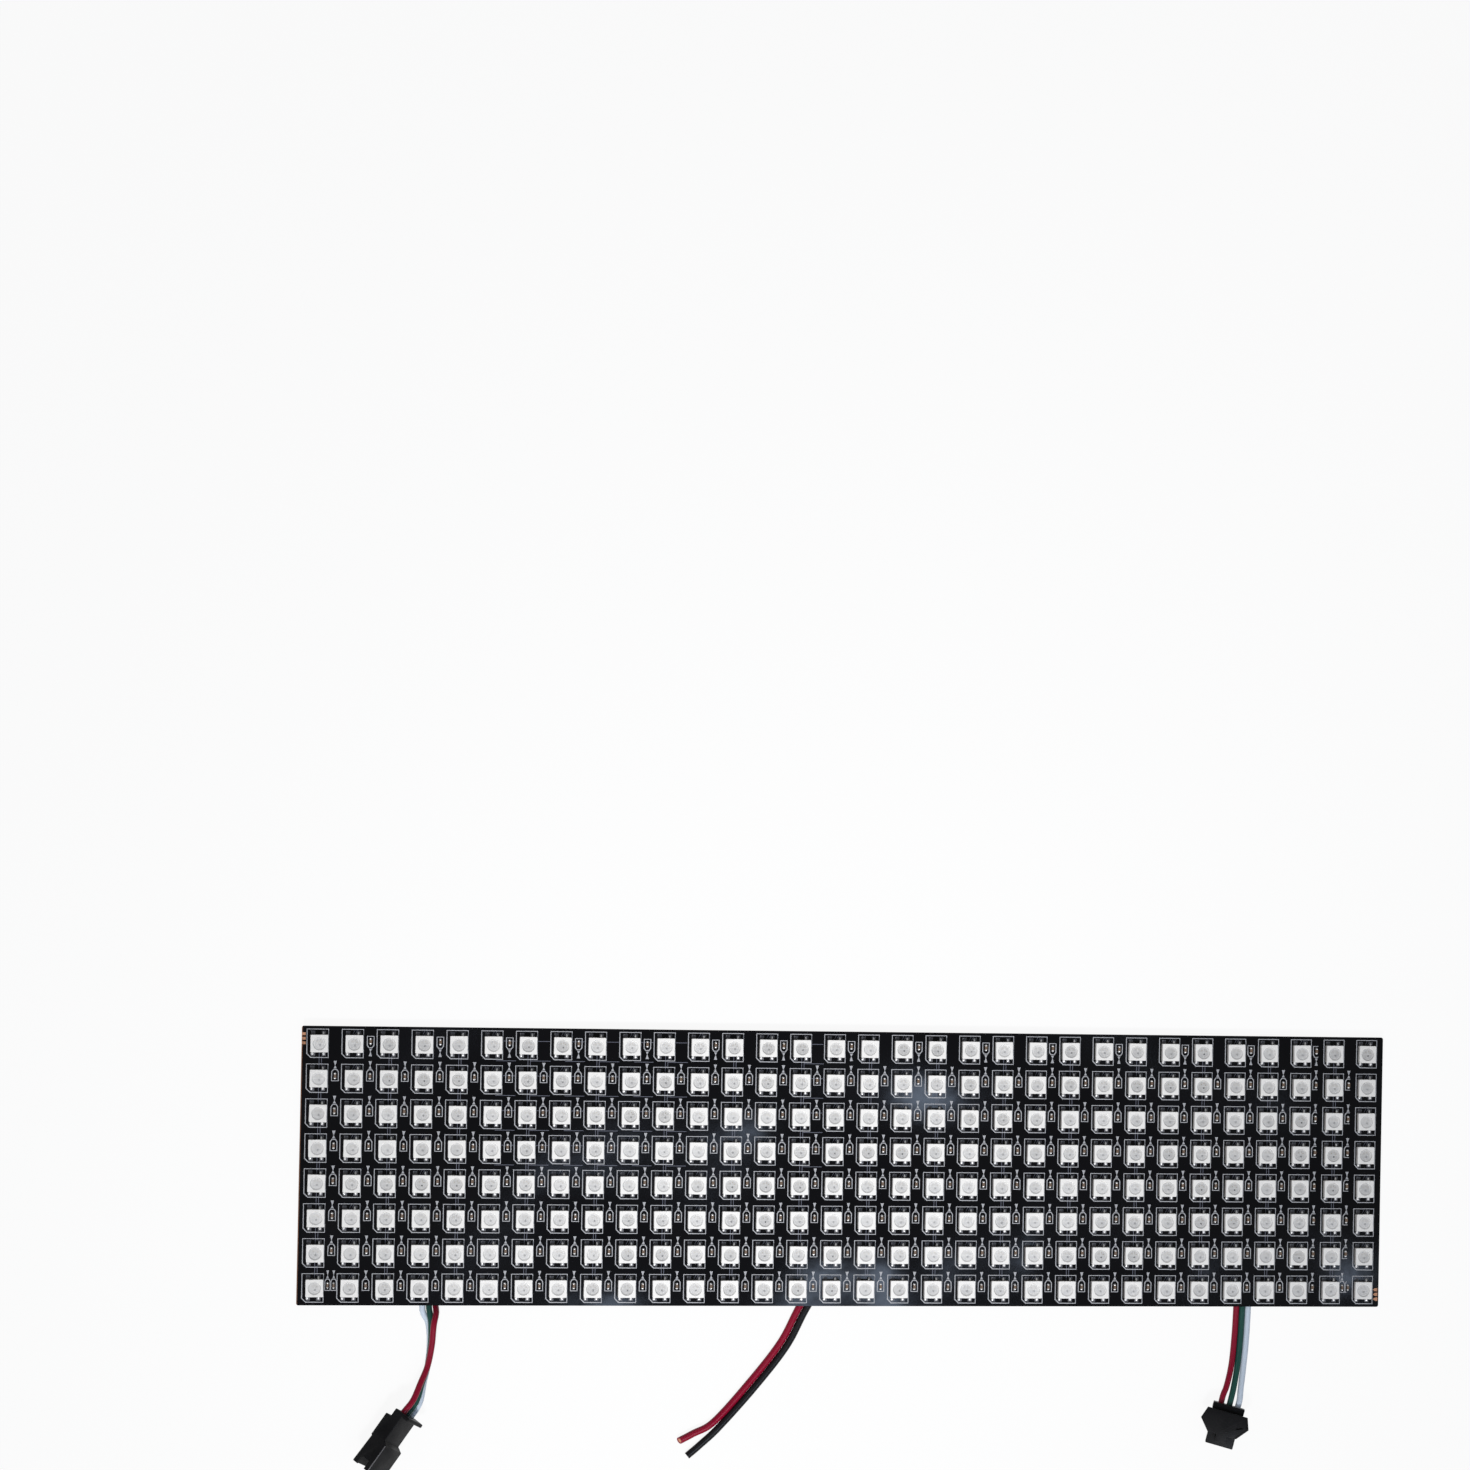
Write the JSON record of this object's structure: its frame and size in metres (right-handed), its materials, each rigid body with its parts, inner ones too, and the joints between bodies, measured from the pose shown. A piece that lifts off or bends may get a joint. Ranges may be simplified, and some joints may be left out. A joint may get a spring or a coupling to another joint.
{
  "type": "flexible led matrix panel",
  "caption": "Thin black flexible light panel with a square grid of white RGB light packages, a data lead with a plug at each end and a bare-ended power lead.",
  "frame": {"origin": "on the table under the centre of the panel, which lies face up on its solder joints and connectors", "axes": "+X along the panel's long side, towards the output lead's end; +Y towards the edge away from the leads; +Z out of the lit face"},
  "size_m": [0.32, 0.1294, 0.0115],
  "materials": {
    "black_film": "black coverlay with a soft sheen",
    "black_nylon": "moulded, satin",
    "brass": "bright",
    "solder": "bright solder",
    "red_insulation": "soft gloss",
    "green_insulation": "soft gloss",
    "white_insulation": "soft gloss",
    "black_insulation": "soft gloss"
  },
  "bodies": {
    "root": {"flex_board": "black_film", "input_wire_red": "red_insulation", "input_wire_green": "green_insulation", "input_wire_white": "white_insulation", "input_solder_red": "solder", "input_solder_green": "solder", "input_solder_white": "solder", "output_wire_red": "red_insulation", "output_wire_green": "green_insulation", "output_wire_white": "white_insulation", "output_solder_red": "solder", "output_solder_green": "solder", "output_solder_white": "solder", "input_housing": "black_nylon", "output_housing": "black_nylon", "input_pin_red": "brass", "input_pin_green": "brass", "input_pin_white": "brass", "output_socket_red": "brass", "output_socket_green": "brass", "output_socket_white": "brass", "power_wire_red": "red_insulation", "power_wire_black": "black_insulation", "power_solder_red": "solder", "power_solder_black": "solder"}
  },
  "joints": []
}
